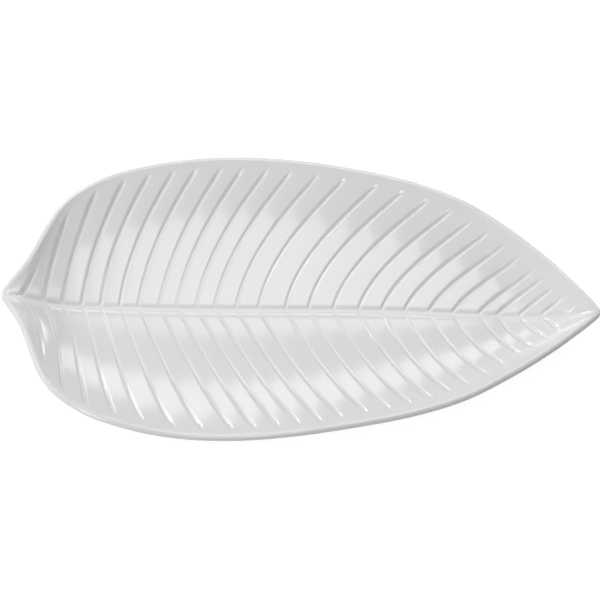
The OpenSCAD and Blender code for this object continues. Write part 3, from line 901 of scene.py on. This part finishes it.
class MakeShell(bpy.types.Operator):
    """Makes the moulded leaf with its dish, lip and pressed-in veins"""
    bl_idname = "leaf_platter.make_shell"
    bl_label = "Leaf shell"

    def execute(self, context):
        scene = context.scene
        sizes, veins = scene.leaf_sizes, scene.leaf_veins
        shell = mesh_object("moulded_leaf", *leaf_skin(Leaf(sizes, veins)))
        values = {veins.bl_rna.properties[key].name: getattr(veins, key)
                  for key in VeinSizes.__annotations__}
        values |= {"Lip round": sizes.lip_thickness / 2, "Widening power": WIDENING_POWER}
        run_tree(shell, vein_press_tree(values),
                 values | {"Material": melamine(scene.leaf_finish)})
        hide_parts(SHELL)
        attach(shell, BODY)
        return {"FINISHED"}


class MakeBosses(bpy.types.Operator):
    """Makes the four low bosses that grow out of the leaf's underside"""
    bl_idname = "leaf_platter.make_bosses"
    bl_label = "Foot bosses"

    def execute(self, context):
        scene = context.scene
        middles = [(low + high) / 2 for low, high in map(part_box, PADS)]
        bosses = mesh_object("moulded_bosses", [(m.x, m.y, 0) for m in middles], [])
        template = boss_template(scene.leaf_feet)
        run_tree(bosses, boss_seat_tree(), {
            "Boss": template, "Shell": bpy.data.objects["moulded_leaf"], "Reach": CAD_HIGH.z,
            "Material": melamine(scene.leaf_finish)})
        bpy.data.objects.remove(template)
        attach(bosses, BODY)
        return {"FINISHED"}


class FinishPads(bpy.types.Operator):
    """Gives the four soft pads their cast rubber"""
    bl_idname = "leaf_platter.finish_pads"
    bl_label = "Foot pads"

    def execute(self, context):
        rubber = soft_pad(context.scene.leaf_finish)
        for name in PADS:
            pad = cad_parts[name]
            if not pad.material_slots:
                pad.data.materials.append(rubber)
            for slot in pad.material_slots:
                slot.material = rubber
        return {"FINISHED"}


class MakeStudio(bpy.types.Operator):
    """Makes the pale floor, the softboxes and the camera"""
    bl_idname = "leaf_platter.make_studio"
    bl_label = "Studio"

    def execute(self, context):
        scene, studio = context.scene, context.scene.leaf_studio
        scene.view_settings.view_transform = "Standard"
        leaf = Leaf(scene.leaf_sizes, scene.leaf_veins)
        aim = Vector((0, -leaf.centring, leaf.floor - scene.leaf_veins.rib_depth))
        make_floor()
        make_world(studio.ambient)
        for name, (*place, radiance) in SOFTBOXES.items():
            make_softbox(name + "_softbox", aim, *place, studio.lamps * radiance)
        make_camera(studio, aim)
        return {"FINISHED"}


def stand(obj, place, facing):
    """Puts a lamp or camera at its place, turned to what it faces, and into the scene."""
    obj.matrix_world = Matrix.Translation(place) @ facing.to_matrix().to_4x4()
    bpy.context.scene.collection.objects.link(obj)


def make_softbox(name, aim, azimuth, elevation, size, softness, radiance):
    """A rectangular lamp that faces the leaf and fades towards its edges. Azimuth 0 is behind
    the leaf and turns towards the tip. Evenly lit, it would have the radiance all over."""
    lamp = bpy.data.lights.new(name, "AREA")
    lamp.shape = "RECTANGLE"
    lamp.size, lamp.size_y = size
    lamp.energy = radiance * math.pi * size[0] * size[1]
    tree = clear_tree(lamp)
    across = add_node(tree, "ShaderNodeSeparateXYZ", {
        0: add_node(tree, "ShaderNodeNewGeometry").outputs["Parametric"]}).outputs
    fades = []
    for axis, soft in zip("XY", softness):
        off_middle = add_node(tree, MATH, {0: across[axis], 1: 0.5}, operation="SUBTRACT")
        off_middle = add_node(tree, MATH, {0: off_middle}, operation="ABSOLUTE")
        fades.append(add_node(tree, "ShaderNodeMapRange", {
            "Value": off_middle, "From Min": 0.5 - soft, "From Max": 0.5, "To Min": 1.0,
            "To Max": 0.0}, interpolation_type="SMOOTHSTEP"))
    glow = add_node(tree, MATH, {0: fades[0], 1: fades[1]}, operation="MULTIPLY")
    glow = add_node(tree, "ShaderNodeEmission", {"Strength": glow})
    add_node(tree, "ShaderNodeOutputLight", {"Surface": glow})
    a, e = math.radians(azimuth), math.radians(elevation)
    away = Vector((math.sin(a) * math.cos(e), math.cos(a) * math.cos(e), math.sin(e)))
    stand(bpy.data.objects.new(name, lamp), aim + away * SOFTBOX_DISTANCE,
          away.to_track_quat("Z", "Y"))


def end_by_rays(tree, output, bounced, seen):
    """Ends the floor's or the world's tree: one shader lights the leaf, and the other is for
    rays that show it to the camera, directly or by gloss or glass."""
    path = add_node(tree, "ShaderNodeLightPath").outputs
    both = add_node(tree, MATH, {0: path["Is Camera Ray"], 1: path["Is Glossy Ray"]},
                    operation="MAXIMUM")
    both = add_node(tree, MATH, {0: both, 1: path["Is Transmission Ray"]}, operation="MAXIMUM")
    both = add_node(tree, "ShaderNodeMixShader", {0: both, 1: bounced, 2: seen})
    add_node(tree, output, {"Surface": both})


def make_floor():
    """A plain floor, pale grey to the light that it bounces and white where it is seen: there
    a glow lifts it to white and leaves the leaf's shadow."""
    half = FLOOR_SIZE / 2
    floor = mesh_object(
        "floor", [(-half, -half, 0), (half, -half, 0), (half, half, 0), (-half, half, 0)],
        [(0, 1, 2, 3)])
    material = bpy.data.materials.new("white_floor")
    tree = clear_tree(material)
    bounced, seen = (add_node(tree, "ShaderNodeBsdfDiffuse", {"Color": linear(colour)})
                     for colour in (FLOOR_BOUNCE, FLOOR_SEEN))
    glow = add_node(tree, "ShaderNodeEmission", {"Strength": FLOOR_GLOW})
    seen = add_node(tree, "ShaderNodeAddShader", {0: seen, 1: glow})
    end_by_rays(tree, "ShaderNodeOutputMaterial", bounced, seen)
    floor.data.materials.append(material)


def make_world(ambient):
    """Plain light from all round, which shows as white to the camera."""
    world = bpy.data.worlds.new("white_room")
    tree = clear_tree(world)
    plain, white = (
        add_node(tree, "ShaderNodeBackground", {"Color": (1, 1, 1, 1), "Strength": strength})
        for strength in (ambient, 1.0))
    end_by_rays(tree, "ShaderNodeOutputWorld", plain, white)
    bpy.context.scene.world = world


def make_camera(studio, aim):
    """A long lens over the near edge of the leaf, turned a little from its length."""
    data = bpy.data.cameras.new("camera")
    data.lens = studio.lens
    data.clip_end = CLIP_DISTANCES * studio.distance
    ahead, upright = Vector((-math.sin(studio.turn), math.cos(studio.turn), 0)), Vector((0, 0, 1))
    to_leaf, look = (math.cos(e) * ahead - math.sin(e) * upright
                     for e in (studio.elevation, studio.elevation - studio.tilt))
    camera = bpy.data.objects.new("camera", data)
    stand(camera, aim - studio.distance * to_leaf, look.to_track_quat("-Z", "Y"))
    bpy.context.scene.camera = camera


class LeafPanel(bpy.types.Panel):
    """Sizes and makers of the leaf platter"""
    bl_idname = "VIEW3D_PT_leaf_platter"
    bl_label = "Leaf platter"
    bl_space_type = "VIEW_3D"
    bl_region_type = "UI"
    bl_category = "Leaf platter"

    def draw(self, context):
        for name, title, group, maker in PARTS:
            box = self.layout.box()
            box.label(text=title)
            for key in group.__annotations__:
                box.prop(getattr(context.scene, name), key)
            if maker:
                box.operator(maker.bl_idname)


# Each group's name in the scene, title and class, and the operator listed below it.
PARTS = (
    ("leaf_sizes", "Leaf", LeafSizes, None),
    ("leaf_veins", "Veins", VeinSizes, MakeShell),
    ("leaf_feet", "Feet", FootSizes, MakeBosses),
    ("leaf_finish", "Finish", FinishSettings, FinishPads),
    ("leaf_studio", "Studio", StudioSettings, MakeStudio),
)
CLASSES = (*(part[2] for part in PARTS), *(part[3] for part in PARTS if part[3]), LeafPanel)


def register():
    for kind in CLASSES:
        bpy.utils.register_class(kind)
    for name, _, group, _ in PARTS:
        setattr(bpy.types.Scene, name, bpy.props.PointerProperty(type=group))


def unregister():
    for name, *_ in PARTS:
        delattr(bpy.types.Scene, name)
    for kind in reversed(CLASSES):
        bpy.utils.unregister_class(kind)


def main():
    register()
    bpy.ops.leaf_platter.make_shell()
    bpy.ops.leaf_platter.make_bosses()
    bpy.ops.leaf_platter.finish_pads()
    bpy.ops.leaf_platter.make_studio()


if __name__ == "__main__":
    main()
